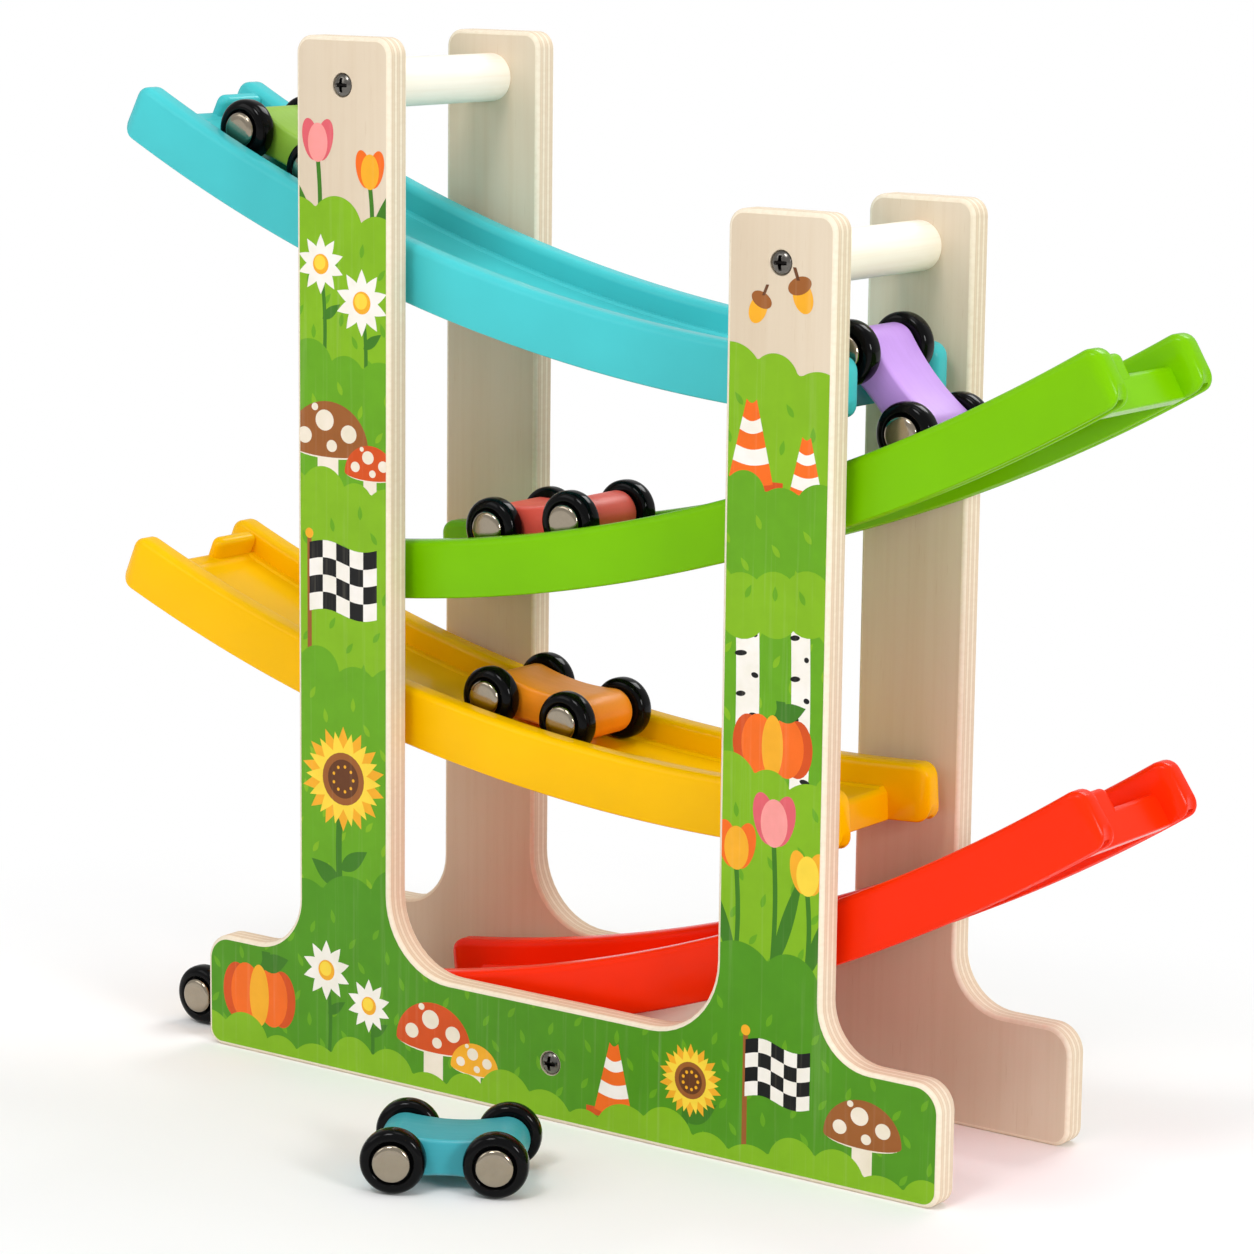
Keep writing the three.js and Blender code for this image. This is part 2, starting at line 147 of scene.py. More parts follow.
def make_piece(name, shells, finishes, body, node, marks=None, crease=30, inks=None):
    """Joins shells of points in millimetres, faces and finish number into one mesh, drops points without a
    face, welds points that meet and turns the faces outwards. marks holds further values for each point and
    inks a colour for each face; edges that bend by more than crease degrees stay sharp."""
    starts = np.cumsum([0] + [len(points) for points, _, _ in shells])
    faces = [[int(i) + int(a) for i in face] for (_, some, _), a in zip(shells, starts) for face in some]
    mesh = bpy.data.meshes.new(name)
    mesh.from_pydata((np.concatenate([points for points, _, _ in shells]) * 0.001).tolist(), [], faces)
    mesh.polygons.foreach_set("material_index", [f for _, some, f in shells for _ in some])
    for mark, values in (marks or {}).items():
        values = np.asarray(values, np.float32)
        kind, field = ("FLOAT", "value") if values.ndim == 1 else ("FLOAT_VECTOR", "vector")
        mesh.attributes.new(mark, kind, "POINT").data.foreach_set(field, values.ravel())
    if inks is not None:
        mesh.attributes.new("ink", "FLOAT_COLOR", "FACE").data.foreach_set("color", np.asarray(inks).ravel())
    work = bmesh.new()
    work.from_mesh(mesh)
    loose = [point for point in work.verts if not point.link_faces]
    bmesh.ops.delete(work, geom=loose, context="VERTS")
    bmesh.ops.remove_doubles(work, verts=work.verts, dist=2e-6)
    bmesh.ops.dissolve_degenerate(work, edges=work.edges, dist=1e-7)
    bmesh.ops.recalc_face_normals(work, faces=work.faces)
    work.to_mesh(mesh)
    work.free()
    for finish in finishes:
        mesh.materials.append(finish)
    mesh.polygons.foreach_set("use_smooth", np.ones(len(mesh.polygons), bool))
    mesh.set_sharp_from_angle(angle=math.radians(crease))
    piece = bpy.data.objects.new(name, mesh)
    bpy.context.scene.collection.objects.link(piece)
    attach(piece, body)
    if node:
        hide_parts(node)


class Finish:
    """A material under construction: its nodes are added by kind and wired by socket."""

    def __init__(self, name, **sockets):
        self.material = bpy.data.materials.new(name)
        self.material.use_nodes = True
        self.nodes = self.material.node_tree.nodes
        self.links = self.material.node_tree.links
        self.shader = self.nodes["Principled BSDF"]
        self.fill(self.shader, sockets)

    def fill(self, node, sockets):
        for socket, value in sockets.items():
            socket = int(socket[1:]) if socket[0] == "_" else socket.replace("_", " ")
            if isinstance(value, bpy.types.NodeSocket):
                self.links.new(value, node.inputs[socket])
            else:
                node.inputs[socket].default_value = value

    def add(self, kind, settings=None, **sockets):
        node = self.nodes.new("ShaderNode" + kind)
        for setting, value in (settings or {}).items():
            setattr(node, setting, value)
        self.fill(node, sockets)
        return node

    def place(self, scale, mark=None):
        """Object coordinates, or a mark of the piece's own, stretched by a scale."""
        if mark:
            source = self.add("Attribute", {"attribute_name": mark}).outputs["Vector"]
        else:
            source = self.add("TexCoord").outputs["Object"]
        return self.add("Mapping", Vector=source, Scale=scale).outputs[0]

    def noise(self, vector, detail, rough):
        return self.add("TexNoise", Vector=vector, Scale=1.0, Detail=detail, Roughness=rough).outputs["Fac"]

    def between(self, fac, low, high, to_low=0.0, to_high=1.0):
        return self.add("MapRange", {"clamp": True}, Value=fac, From_Min=low, From_Max=high, To_Min=to_low,
                        To_Max=to_high).outputs[0]

    def blend(self, fac, first, second, way="MIX"):
        settings = {"data_type": "RGBA", "blend_type": way}
        return self.add("Mix", settings, _0=fac, _6=first, _7=second).outputs[2]

    def bump(self, height, strength, distance):
        return self.add("Bump", Height=height, Strength=strength, Distance=distance).outputs[0]

    def wire(self, **sockets):
        self.fill(self.shader, sockets)
        return self.material


# The faces are rotary-cut birch under a thin clear lacquer: long fine streaks, a broad pale figure and pores.
birch = Finish("birch_face", IOR=1.45)
streaks = birch.noise(birch.place((520, 520, 12)), 5.0, 0.6)
figure = birch.noise(birch.place((42, 42, 5)), 3.0, 0.5)
pores = birch.between(birch.noise(birch.place((1500, 1500, 90)), 2.0, 0.5), 0.66, 0.74)
wood = birch.blend(birch.between(figure, 0.3, 0.7), linear(209, 191, 166), linear(217, 202, 180))
wood = birch.blend(birch.between(streaks, 0.45, 0.75, 0.0, 0.22), wood, linear(196, 170, 136))
wood = birch.blend(birch.between(pores, 0.0, 1.0, 0.0, 0.25), wood, linear(186, 156, 120))
birch_face = birch.wire(Base_Color=wood, Roughness=birch.between(streaks, 0.3, 0.7, 0.42, 0.55),
                        Normal=birch.bump(streaks, 0.12, 0.0002))

# The cut edges show seven plies: the ones across the board are darker end grain, with thin glue lines.
ply = Finish("birch_edge", Roughness=0.62, IOR=1.45)
depth = ply.add("Attribute", {"attribute_name": "ply_depth"}).outputs["Fac"]
layers = ply.add("ValToRGB", Fac=depth)
ply_cream, ply_tan, ply_glue = linear(233, 220, 198), linear(220, 201, 174), linear(182, 156, 122)
ply_count = 7
glue_line = 0.012
stops = [(0.0, ply_cream)]
for number in range(1, ply_count):
    here = number / ply_count
    before, after = (ply_cream, ply_tan) if number % 2 else (ply_tan, ply_cream)
    stops += [(here - glue_line, before), (here, ply_glue), (here + glue_line, after)]
stops.append((1.0, ply_cream))
while len(layers.color_ramp.elements) < len(stops):
    layers.color_ramp.elements.new(0.5)
for element, (position, colour) in zip(layers.color_ramp.elements, stops):
    element.position = position
    element.color = colour
fibres = ply.noise(ply.place((700, 260, 700)), 4.0, 0.6)
ply_edge = ply.wire(
    Base_Color=ply.blend(ply.between(fibres, 0.4, 0.75, 0.0, 0.25), layers.outputs[0], linear(204, 178, 144)),
    Normal=ply.bump(fibres, 0.15, 0.0002))

# Where each ramp lies: the way it rises, its low end's tilt in degrees, and that end's place and height
curve_radius = 546.0
ramp_places = {
    "cyan": (-1, 0.2, 85.988, 213.98),
    "green": (1, 3.3, -85.496, 148.096),
    "yellow": (-1, -4.0, 86.702, 97.5),
    "red": (1, 6.6, -80.804, 20.196),
}
peg_along = np.array([11.5, 162.0])
peg_height = -0.85
peg_hole_radius = 3.3
peg_hole_depth = 4.3


def on_ramp(place, along, height):
    """Points in the panels' plane, by the way along a ramp's floor and the height above it: both go round the
    centre of the curve, the first as the angle and the second as the distance from the floor's radius. The
    centre lies one radius off the low end, square to the floor there."""
    rises, tilt, low_x, low_z = place
    tilt = math.radians(tilt)
    angle = tilt + np.asarray(along) / curve_radius
    radius = curve_radius - np.asarray(height)
    return np.stack([low_x + rises * (radius * np.sin(angle) - curve_radius * math.sin(tilt)),
                     low_z - radius * np.cos(angle) + curve_radius * math.cos(tilt)], -1)


outline, normals = rounded_outline(panel_corners, panel_corner_steps)
peg_places = np.concatenate([on_ramp(place, peg_along, peg_height) for place in ramp_places.values()])
for (name, outer), inwards in zip(panel_outer_faces.items(), (1, -1)):
    inner = outer + inwards * panel_thickness
    low, high = sorted([outer, inner])
    sunk = outer + inwards * screw_sink
    bottom = inner - inwards * peg_hole_depth
    screw_steps = [(screw_sink_radius, outer), (screw_sink_radius, sunk), (screw_hole_radius, sunk),
                   (screw_hole_radius, inner)]
    peg_steps = [(peg_hole_radius, inner), (peg_hole_radius, bottom)]
    holes = [(place, screw_steps) for place in screw_places] + [(place, peg_steps) for place in peg_places]
    shells = board(outline, normals, low, high, panel_eased_edge, holes)
    across = (np.concatenate([points for points, _, _ in shells])[:, 1] - low) / panel_thickness
    make_piece(name, shells, [birch_face, ply_edge], "track", name, {"ply_depth": across})

# Print
# The front face carries a transfer print of bushes, flowers, toadstools, pumpkins, cones and flags, fused to
# the wood under a satin lacquer. The inks are a film a few hundredths of a millimetre thick, which stops at
# the eased edge and round the screws.
print_film = 0.03
print_hole_radius = 3.6
print_inks = {
    "leaf": linear(126, 176, 18), "hedge": linear(98, 160, 16), "shade": linear(76, 142, 14),
    "stalk": linear(58, 118, 20), "yellow": linear(244, 208, 62), "gold": linear(238, 168, 34),
    "orange": linear(236, 104, 20), "rust": linear(206, 76, 16), "brown": linear(150, 88, 38),
    "dark": linear(98, 54, 24), "cream": linear(234, 222, 206), "white": linear(240, 234, 228),
    "black": linear(12, 11, 11), "pink": linear(240, 150, 148), "rose": linear(218, 92, 104),
}


def oval(x, z, wide, tall, lean=0.0, sides=28):
    """An ellipse by equal angles, by half its width and height, leaning to the right by some degrees."""
    turn = np.linspace(0, 2 * math.pi, sides, endpoint=False)
    across, up = wide * np.cos(turn), tall * np.sin(turn)
    cosine, sine = math.cos(math.radians(lean)), math.sin(math.radians(lean))
    return np.stack([x + across * cosine + up * sine, z - across * sine + up * cosine], -1)


def leaf(x, z, long, wide, lean, steps=12):
    """A leaf from its stalk end to its tip: its half width goes as a sine along its length."""
    way = np.linspace(0, 1, steps)
    half = wide / 2 * np.sin(math.pi * way ** 0.8)
    up = long * np.concatenate([way, way[-2:0:-1]])
    across = np.concatenate([half, -half[-2:0:-1]])
    cosine, sine = math.cos(math.radians(lean)), math.sin(math.radians(lean))
    return np.stack([x + across * cosine + up * sine, z - across * sine + up * cosine], -1)


def stem(foot, top, wide, bend=0.0, steps=10):
    """A band from foot to top whose middle line bows sideways as a sine, half its width to either side."""
    way = np.linspace(0, 1, steps)
    x = foot[0] + (top[0] - foot[0]) * way + bend * np.sin(math.pi * way)
    z = foot[1] + (top[1] - foot[1]) * way
    return np.concatenate([np.stack([x - wide / 2, z], -1), np.stack([x + wide / 2, z], -1)[::-1]])


def bush(left, right, height, pitch, phase, foot):
    """A row of bushes: its top is the highest of overlapping circles at every place across, whose radii and
    heights swell and sink along the row as sines."""
    across = np.linspace(left, right, int((right - left) * 1.6))
    number = np.arange(-1, (right - left) / pitch + 2)
    middles = left + (number + phase) * pitch
    radii = pitch * (0.66 + 0.12 * np.sin(2.3 * number + 5 * phase))
    lifts = height - radii + 0.22 * pitch * np.sin(1.7 * number + 3 * phase)
    rise = np.sqrt(np.maximum(radii[:, None] ** 2 - (across[None] - middles[:, None]) ** 2, 0))
    top = (lifts[:, None] + rise).max(0)
    return np.concatenate([np.stack([across, top], -1), [(right, foot), (left, foot)]])


def hedge(left, right, height, pitch, phase, foot, ink, daub):
    """A bush row with a scatter of leaf daubs, placed by steps of the golden ratio across and evenly down."""
    drawn = [(ink, bush(left, right, height, pitch, phase, foot))]
    number = np.arange(1, int((right - left) * (height - foot) / 110) + 2)
    x = left + (right - left) * ((number * 0.618 + phase) % 1)
    z = foot + (height - pitch * 0.9 - foot) * (number - 0.5) / len(number)
    return drawn + [(daub, leaf(a, b, 4.2, 1.7, 40 * math.sin(7 * a))) for a, b in zip(x, z)]


def daisy(x, z, size, foot):
    """A flower of ten white petals round a yellow heart, on a stalk."""
    turns = np.arange(10) * 36.0
    return [("stalk", stem((x + 1, foot), (x, z), 1.3, 1.0)),
            ("stalk", leaf(x + 0.6, (z + foot) / 2, 8, 3, 55)),
            *[("white", leaf(x, z, size, size * 0.42, turn)) for turn in turns],
            ("gold", oval(x, z, size * 0.34, size * 0.34)),
            ("yellow", oval(x - 0.3, z + 0.4, size * 0.24, size * 0.24))]


def sunflower(x, z, size, foot):
    """Two rings of pointed petals round a brown disc with a ring of seeds, on a stalk with two leaves."""
    turns = np.arange(14) * 360 / 14
    seeds = circle((x, z), size * 0.24, 9)
    return [("stalk", stem((x - 1, foot), (x, z), 2.2, -1.2)),
            ("stalk", leaf(x - 1, foot + 4, 13, 5.5, -58)), ("stalk", leaf(x - 1, foot + 9, 12, 5, 56)),
            *[("gold", leaf(x, z, size, size * 0.36, turn)) for turn in turns],
            *[("yellow", leaf(x, z, size * 0.9, size * 0.3, turn + 180 / 14)) for turn in turns],
            ("brown", oval(x, z, size * 0.5, size * 0.5)), ("dark", oval(x, z, size * 0.37, size * 0.37)),
            *[("gold", oval(*seed, 0.5, 0.5, 0, 10)) for seed in seeds]]


def tulip(x, z, size, foot, cup, fold, lean):
    """Three cupped petals, the outer two leaning apart, on a stalk with a long leaf."""
    return [("stalk", stem((x, foot), (x, z), 1.5, 0.8)),
            ("stalk", leaf(x, foot, 0.75 * (z - foot) + 5, 4, lean)),
            (fold, oval(x - size * 0.25, z + size * 0.5, size * 0.3, size * 0.6, -14)),
            (fold, oval(x + size * 0.25, z + size * 0.5, size * 0.3, size * 0.6, 14)),
            (cup, oval(x, z + size * 0.42, size * 0.36, size * 0.55))]


def toadstool(x, z, size, cap, gill):
    """A cream stem under a domed cap, half an ellipse with a sagging lower edge, with cream spots."""
    turn = np.linspace(0, math.pi, 24)
    under = np.linspace(math.pi, 0, 12)[1:-1]
    across = np.concatenate([np.cos(turn), np.cos(under)])
    up = np.concatenate([0.55 * np.sin(turn), -0.12 * np.sin(under)])
    dome = np.stack([x + size * 0.62 * across, z + size * (0.5 + up)], -1)
    spots = [(-0.36, 0.62, 0.11), (-0.05, 0.82, 0.14), (0.32, 0.68, 0.12), (0.06, 0.52, 0.08),
             (-0.2, 0.97, 0.05)]
    return [("cream", stem((x, z), (x, z + size * 0.6), size * 0.32)),
            (gill, oval(x, z + size * 0.5, size * 0.6, size * 0.14)), (cap, dome),
            *[("cream", oval(x + size * a, z + size * b, size * r, size * r * 0.9)) for a, b, r in spots]]


def cone(x, z, size):
    """A traffic cone: a straight taper on a flat foot, with two white bands."""
    def band(low, high):
        """The part of the taper between two shares of its height, with sagging edges."""
        share = np.array([low, high])
        half = size * (0.34 - 0.25 * share)
        sag = size * 0.05 * np.sin(np.linspace(0, math.pi, 9))
        lower = np.stack([x + np.linspace(-half[0], half[0], 9), z + size * (0.1 + low) - sag], -1)
        upper = np.stack([x + np.linspace(half[1], -half[1], 9), z + size * (0.1 + high) - sag], -1)
        return np.concatenate([lower, upper])
    return [("rust", stem((x, z), (x, z + size * 0.13), size * 0.98)), ("orange", band(0.0, 1.05)),
            ("white", band(0.26, 0.46)), ("white", band(0.66, 0.82))]


def pumpkin(x, z, size):
    """Five ribs as upright ellipses, the middle one palest, with a bent stalk and a leaf."""
    ribs = [("rust", -0.4, 0.24), ("rust", 0.4, 0.24), ("orange", -0.23, 0.27), ("orange", 0.23, 0.27)]
    tip = (x + size * 0.12, z + size * 0.62)
    return [("stalk", stem((x, z + size * 0.3), tip, size * 0.15, size * 0.06)),
            *[(ink, oval(x + size * a, z, size * w, size * (0.44 - 0.12 * abs(a)))) for ink, a, w in ribs],
            ("gold", oval(x, z - size * 0.01, size * 0.17, size * 0.43)),
            ("stalk", leaf(x + size * 0.05, z + size * 0.4, size * 0.5, size * 0.26, 70))]


def flag(x, z, wide, tall, foot):
    """A chequered flag on a pole: five by four squares, bent by a sine wave across the cloth."""
    def square(column, row, columns, rows):
        """The outline of a block of squares, with the wave along its two long edges."""
        way = np.linspace(column, column + columns, 3 * columns + 1) / 5
        wave = 1.1 * np.sin(2 * math.pi * way)
        low = np.stack([x + wide * way, z + tall * row / 4 + wave], -1)
        high = np.stack([x + wide * way, z + tall * (row + rows) / 4 + wave], -1)
        return np.concatenate([low, high[::-1]])
    squares = [square(i, j, 1, 1) for i in range(5) for j in range(4) if (i + j) % 2]
    return [("brown", stem((x, foot), (x, z + tall + 2), 1.6)), ("gold", oval(x, z + tall + 2.6, 1.5, 1.5)),
            ("white", square(0, 0, 5, 4)), *[("black", outline) for outline in squares]]


def birch_tree(x, foot, top, wide):
    """A white trunk with dark bark marks, set in from both sides by turns."""
    marks = np.arange(int((top - foot) / 5.5))
    side = np.where(marks % 2, 1, -1)
    return [("white", stem((x, foot), (x, top), wide, 0.8)),
            *[("black", oval(x + 0.8 * math.sin(math.pi * (5.5 * m + 3) / (top - foot)) + s * wide * 0.3,
                             foot + 5.5 * m + 3, wide * (0.2 + 0.07 * math.sin(2.6 * m)), 0.75, 8 * s))
              for m, s in zip(marks, side)]]


def crown(x, z, wide):
    """The leafy top of trees: five overlapping ovals side by side, with daubs on a wave across them."""
    places = np.linspace(-0.5, 0.5, 5) * wide
    return [*[("leaf", oval(x + a, z + 1.5 * math.sin(2 * a), wide * 0.2, 9)) for a in places],
            *[("hedge", leaf(x + a * 0.9, z - 3 + 4 * math.cos(3 * a), 4.2, 1.7, 30 * math.sin(a)))
              for a in places]]


def acorn(x, z, size, lean):
    """A nut with a pointed tip under a scaly cup, hanging from a short stalk."""
    cosine, sine = math.cos(math.radians(lean)), math.sin(math.radians(lean))
    return [("gold", oval(x, z, size * 0.34, size * 0.5, lean)),
            ("brown", oval(x + size * 0.34 * sine, z + size * 0.34 * cosine, size * 0.42, size * 0.26, lean)),
            ("dark", stem((x + size * 0.5 * sine, z + size * 0.5 * cosine),
                          (x + size * 0.9 * sine, z + size * 0.9 * cosine), size * 0.12))]


def anticlockwise(points):
    """The outline turned to run against the clock, judged by the sign of the area that it sweeps."""
    after = np.roll(points, -1, 0)
    swept = (points[:, 0] * after[:, 1] - after[:, 0] * points[:, 1]).sum()
    return points if swept > 0 else points[::-1]


drawing = [
    *tulip(-84.5, 266, 10, 240, "pink", "rose", -24), *tulip(-65.5, 259, 9, 240, "gold", "orange", 22),
    *hedge(-96, -54, 253, 15, 0.2, 190, "leaf", "hedge"), *daisy(-83.5, 236, 8.5, 205),
    *daisy(-68.5, 226, 9.5, 200), *hedge(-96, -54, 212, 13, 0.65, 150, "hedge", "leaf"),
    *toadstool(-81, 172, 24, "brown", "cream"), *toadstool(-65.5, 170, 15, "rust", "cream"),
    *hedge(-96, -54, 176, 12, 0.1, 100, "leaf", "hedge"), *flag(-88, 136, 25, 20, 104),
    *hedge(-96, -54, 124, 14, 0.8, 40, "hedge", "leaf"), *sunflower(-75.5, 88, 15.5, 52),
    *acorn(80, 238, 9, -20), *acorn(66, 234, 8, 24), *hedge(52, 94, 222, 14, 0.4, 160, "leaf", "hedge"),
    *cone(64.5, 186, 21), *cone(82, 182, 17), *hedge(52, 94, 190, 12, 0.9, 90, "hedge", "leaf"),
    *birch_tree(64, 95, 160, 7.5), *birch_tree(81, 90, 158, 6), *crown(73, 156, 42),
    *pumpkin(73, 118, 20), *hedge(52, 94, 112, 13, 0.55, 40, "leaf", "hedge"),
    *tulip(62, 84, 11, 56, "gold", "orange", -20), *tulip(74, 92, 12, 56, "pink", "rose", 18),
    *tulip(85, 80, 10, 56, "yellow", "gold", 20), *hedge(-130, 130, 60, 17, 0.35, -2, "shade", "hedge"),
    *pumpkin(-108, 18, 22), *daisy(-82, 30, 9, 4), *daisy(-66, 22, 8, 4),
    *toadstool(-42, 4, 22, "rust", "cream"), *toadstool(-27, 3, 14, "gold", "cream"), *cone(22, 5, 19),
    *sunflower(48, 21, 10.5, 0),
    *flag(66, 20, 21, 16, 2), *toadstool(104, 5, 20, "brown", "cream"),
    *hedge(-130, 130, 9, 14, 0.15, -2, "leaf", "hedge"),
]
ink = Finish("print_ink", IOR=1.45, Specular_IOR_Level=0.3)
painted = ink.add("Attribute", {"attribute_name": "ink"}).outputs["Color"]
wash = ink.noise(ink.place((110, 110, 110)), 4.0, 0.6)
threads = ink.noise(ink.place((520, 520, 12)), 5.0, 0.6)
washed = ink.blend(ink.between(wash, 0.35, 0.7, 0.0, 0.22), painted, (0.6, 0.62, 0.3, 1.0), "MULTIPLY")
threaded = ink.blend(ink.between(threads, 0.55, 0.8, 0.0, 0.1), washed, linear(238, 224, 200))
print_ink = ink.wire(Base_Color=threaded, Roughness=ink.between(wash, 0.3, 0.7, 0.34, 0.48),
                     Normal=ink.bump(threads, 0.08, 0.0002))

# What is drawn later lies over what is drawn before, and nothing is printed round the screws
face_edge = outline - panel_eased_edge * normals
pierced = [circle(place, print_hole_radius, hole_sides) for place in screw_places]
drawn = [anticlockwise(points) for _, points in drawing]
points, faces, within = triangulate([face_edge, *drawn, *pierced], 1e-5)
tops = [(max(loops), face) for face, loops in zip(faces, within) if 0 in loops]
tops = [(number, face) for number, face in tops if 0 < number <= len(drawing)]
film = np.insert(points, 1, panel_outer_faces["front_panel"] - print_film, 1)
make_piece("front_print", [(film, [face for _, face in tops], 0)], [print_ink], "track", None,
           inks=[print_inks[drawing[number - 1][0]] for number, _ in tops])

# Bars
# Three turned birch dowels, 14 mm thick, stand between the panels and keep them 60 mm apart.
# A screw from each side holds each of them by its pilot hole.
dowel_wood = Finish("dowel_wood", IOR=1.45)
fine = dowel_wood.noise(dowel_wood.place((650, 16, 650)), 5.0, 0.6)
broad = dowel_wood.noise(dowel_wood.place((90, 6, 90)), 3.0, 0.5)
tone = dowel_wood.blend(dowel_wood.between(broad, 0.3, 0.7), linear(246, 236, 218), linear(251, 244, 230))
tone = dowel_wood.blend(dowel_wood.between(fine, 0.5, 0.78, 0.0, 0.25), tone, linear(222, 200, 168))
dowel_finish = dowel_wood.wire(Base_Color=tone, Roughness=dowel_wood.between(fine, 0.3, 0.7, 0.4, 0.52),
                               Normal=dowel_wood.bump(fine, 0.12, 0.0002))


def turned(profile, sides, centre, axis, across):
    """A profile of radius and way along an axis, swung round it in equal steps; across is the direction that
    the first step points in. Points come row by row along the profile."""
    profile = np.asarray(profile, float)
    axis, across = np.asarray(axis, float), np.asarray(across, float)
    turn = np.linspace(0, 2 * math.pi, sides, endpoint=False)[:, None]
    spoke = np.cos(turn) * across + np.sin(turn) * np.cross(axis, across)
    points = np.asarray(centre) + profile[:, None, :1] * spoke[None] + profile[:, None, 1:] * axis
    return points.reshape(-1, 3), grid_faces(len(profile), sides, True)


def rounded_profile(corners, steps):
    """A profile of radius and place whose corners are softened: each corner's own radius sets how far back on
    both edges a curve starts, and the curve leans from one edge's direction to the next as a parabola."""
    corners = np.asarray(corners, float)
    lean = np.linspace(0, 1, steps)[:, None]
    rows = [corners[:1, :2]]
    for before, here, after in zip(corners[:-2], corners[1:-1], corners[2:]):
        back = (before - here)[:2] / np.linalg.norm((before - here)[:2])
        on = (after - here)[:2] / np.linalg.norm((after - here)[:2])
        start, end = here[:2] + here[2] * back, here[:2] + here[2] * on
        rows.append((1 - lean) ** 2 * start + 2 * lean * (1 - lean) * here[:2] + lean ** 2 * end)
    rows.append(corners[-1:, :2])
    return np.concatenate(rows)


dowel_radius, dowel_length, pilot_depth = 7.0, 60.0, 16.3
pilot_end = dowel_length - pilot_depth
dowel_start = panel_outer_faces["front_panel"] + panel_thickness
dowel_profile = rounded_profile([
    (0, pilot_depth, 0), (screw_hole_radius, pilot_depth, 0.2), (screw_hole_radius, 0, 0.2),
    (dowel_radius, 0, 0.35), (dowel_radius, dowel_length, 0.35), (screw_hole_radius, dowel_length, 0.2),
    (screw_hole_radius, pilot_end, 0.2), (0, pilot_end, 0)], 4)
for name, (x, z) in zip(("top_dowel", "side_dowel", "base_dowel"), screw_places):
    points, faces = turned(dowel_profile, 48, (x, dowel_start, z), (0, 1, 0), (1, 0, 0))
    make_piece(name, [(points, faces, 0)], [dowel_finish], "track", name)

# Screws
# Six pan-head wood screws with a cross recess, zinc plated, driven through the panels into the bars.
# The head is a pressed dome, and the recess narrows as it goes in; its inside carries painted shade.
steel = Finish("screw_steel", Metallic=1.0)
rub = steel.noise(steel.place((900, 900, 900)), 3.0, 0.6)
# The recess mask paints the cross near black over the plated colour: painted shade in the recess.
sunk = steel.add("Attribute", {"attribute_name": "recess_shade"}).outputs["Fac"]
plated = steel.blend(rub, linear(92, 89, 85), linear(126, 122, 116))
screw_steel = steel.wire(
    Base_Color=steel.blend(sunk, plated, linear(30, 28, 27)),
    Roughness=steel.between(rub, 0.3, 0.7, 0.12, 0.28), Normal=steel.bump(rub, 0.06, 0.0001))
head_radius, head_height, head_dome = 3.2, 1.9, 0.86
recess_half, recess_taper, recess_reach, recess_depth = 0.48, 0.12, 1.95, 1.15
shank_rings = np.array([(head_radius, 0.0), (1.6, 0.0), (1.6, 20.0), (0.05, 23.0)])
crown_rings, screw_sides = 26, 96


def screw(centre, into):
    """A screw by rows of rings: the head's crown is a height over rings and turns, a dome less the cross
    recess, which is a smooth step across both slot widths and their ends and grows shallower outwards. The
    skirt, shank and point follow as turned rings."""
    ring = np.linspace(0, 1, crown_rings)[:, None] * head_radius
    turn = np.linspace(0, 2 * math.pi, screw_sides, endpoint=False)[None]
    across, up = abs(ring * np.cos(turn)), abs(ring * np.sin(turn))
    slot_width = recess_half - recess_taper * ring / head_radius
    bar = np.clip((slot_width - np.minimum(across, up)) / 0.16 + 0.5, 0, 1)
    bar *= np.clip((recess_reach - np.maximum(across, up)) / 0.2 + 0.5, 0, 1)
    dome = head_height * np.sqrt(1 - head_dome * (ring / head_radius) ** 2)
    crown = dome - recess_depth * bar * np.clip(1.35 - ring / 2.2, 0, 1)
    into, aside = np.asarray(into, float), np.array([1.0, 0, 0])
    spoke = np.cos(turn)[..., None] * aside + np.sin(turn)[..., None] * np.cross(into, aside)
    cap = np.asarray(centre) + ring[..., None] * spoke - crown[..., None] * into
    shank = np.asarray(centre) + shank_rings[:, None, :1] * spoke + shank_rings[:, None, 1:] * into
    points = np.concatenate([cap, shank]).reshape(-1, 3)
    # The same bar marks where the finish paints the cross dark, as painted shade in the recess.
    recess_shade = np.concatenate([bar.ravel(), np.zeros(len(shank_rings) * screw_sides)])
    rows = crown_rings + len(shank_rings)
    faces = grid_faces(rows, screw_sides, True).tolist()
    return points, faces + [list(range((rows - 1) * screw_sides, rows * screw_sides))], recess_shade


for (panel, outer), inwards in zip(panel_outer_faces.items(), (1, -1)):
    for place, (x, z) in zip(("top", "side", "base"), screw_places):
        name = panel.replace("panel", f"screw_{place}")
        points, faces, recess_shade = screw((x, outer + inwards * screw_sink, z), (0, inwards, 0))
        make_piece(name, [(points, faces, 0)], [screw_steel], "track", name,
                   {"recess_shade": recess_shade}, 40)

# Ramps
# Four castings from one injection mould in glossy plastic: two hollow side walls, open below, carry a thin
# floor that stops short of the arms and turns down there, and a low end wall with a block on one side.
ramp_length, ramp_middle_y = 263.0, 34.0
wall_outer, wall_inner, wall_top, skirt = 26.2, 18.6, 7.5, -9.2
wall_corner, wall_edge, shell_thickness, foot_rim = 4.5, 2.2, 2.0, 0.8
edge_steps, plan_steps = 7, 7


